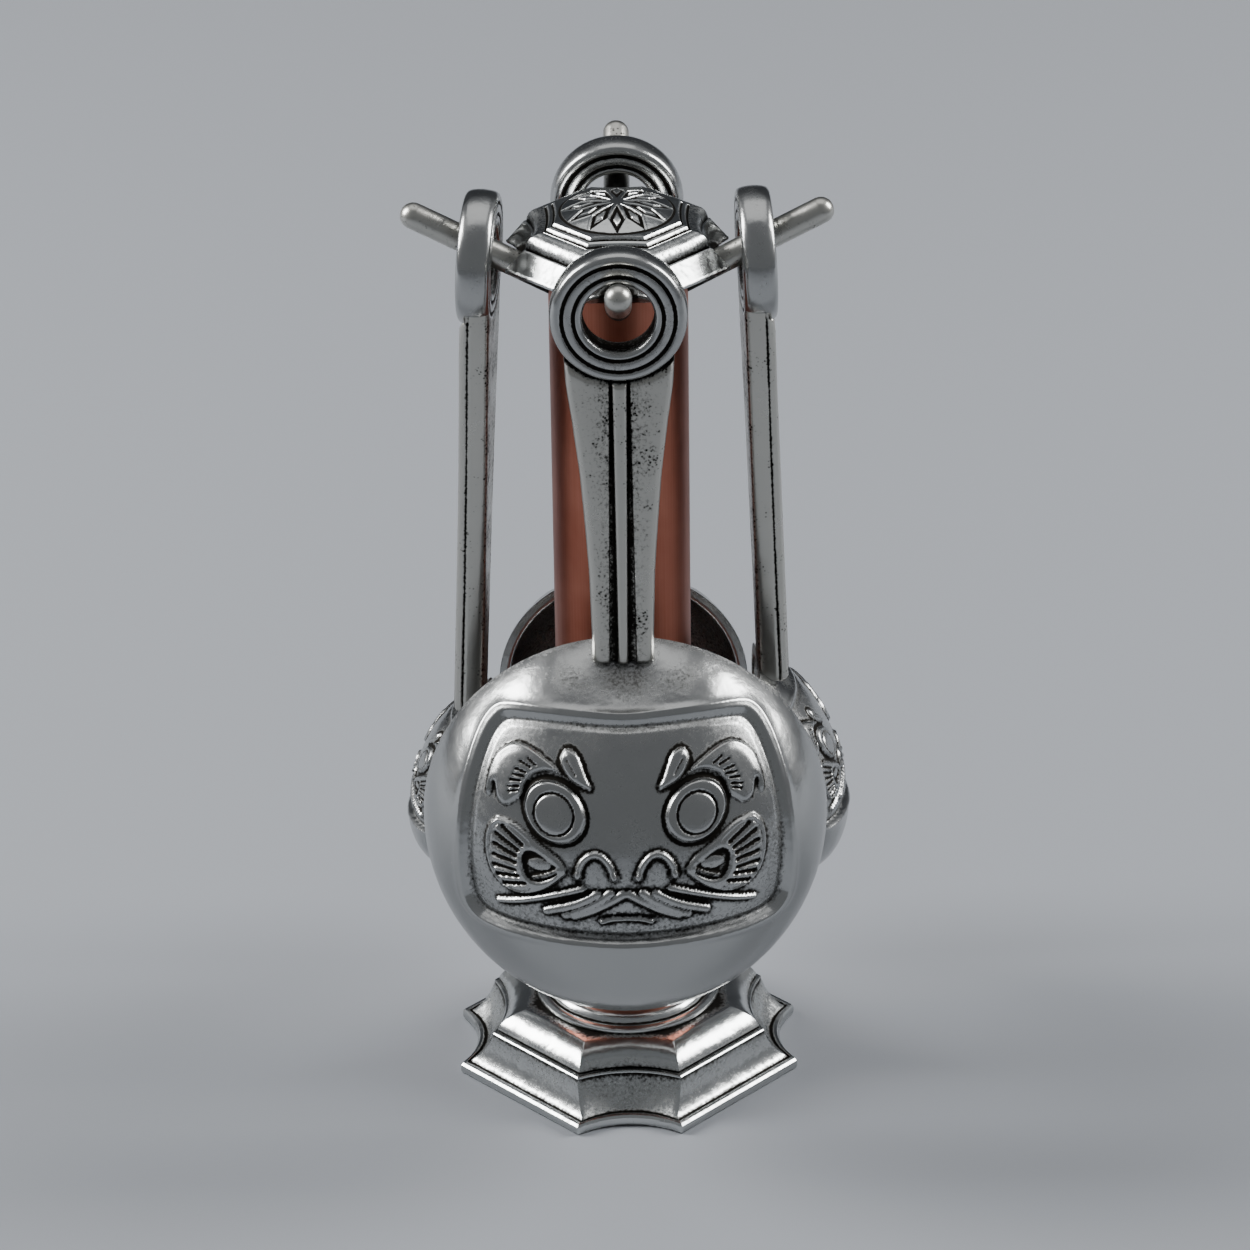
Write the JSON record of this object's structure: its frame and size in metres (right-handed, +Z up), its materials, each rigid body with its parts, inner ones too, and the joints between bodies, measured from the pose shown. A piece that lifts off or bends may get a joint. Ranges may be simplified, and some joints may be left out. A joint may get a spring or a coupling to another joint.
{
  "type": "measuring spoon stand",
  "caption": "Cast pewter measuring spoons with daruma-faced bowls, hung by rings on the angled pegs of a copper-post stand with an octagonal scalloped base.",
  "frame": {"origin": "centre of the underside of the base", "axes": "+Z up along the post, -Y towards the tablespoon, +X towards the half teaspoon"},
  "size_m": [0.0514, 0.0632, 0.1128],
  "materials": {
    "stand_pewter": "polished pewter with black patina in the recesses",
    "peg_pewter": "smooth polished pewter",
    "spoon_pewter": "satin pewter with black patina in the recesses",
    "copper": "satin copper pipe"
  },
  "bodies": {
    "stand": {"base": "stand_pewter", "post_tube": "copper", "crown": "stand_pewter", "peg_front": "peg_pewter", "peg_right": "peg_pewter", "peg_back": "peg_pewter", "peg_left": "peg_pewter"},
    "tablespoon_spoon": {"tablespoon": "spoon_pewter"},
    "half_teaspoon_spoon": {"half_teaspoon": "spoon_pewter"},
    "teaspoon_spoon": {"teaspoon": "spoon_pewter"},
    "quarter_teaspoon_spoon": {"quarter_teaspoon": "spoon_pewter"}
  },
  "joints": [
    {"name": "tablespoon_lift_off", "type": "slide", "parent": "stand", "child": "tablespoon_spoon", "axis": [0, -0.8829, 0.4695], "range_m": [0, 0.02]},
    {"name": "half_teaspoon_lift_off", "type": "slide", "parent": "stand", "child": "half_teaspoon_spoon", "axis": [0.8829, 0, 0.4695], "range_m": [0, 0.02]},
    {"name": "teaspoon_lift_off", "type": "slide", "parent": "stand", "child": "teaspoon_spoon", "axis": [0, 0.8829, 0.4695], "range_m": [0, 0.02]},
    {"name": "quarter_teaspoon_lift_off", "type": "slide", "parent": "stand", "child": "quarter_teaspoon_spoon", "axis": [-0.8829, 0, 0.4695], "range_m": [0, 0.02]}
  ]
}
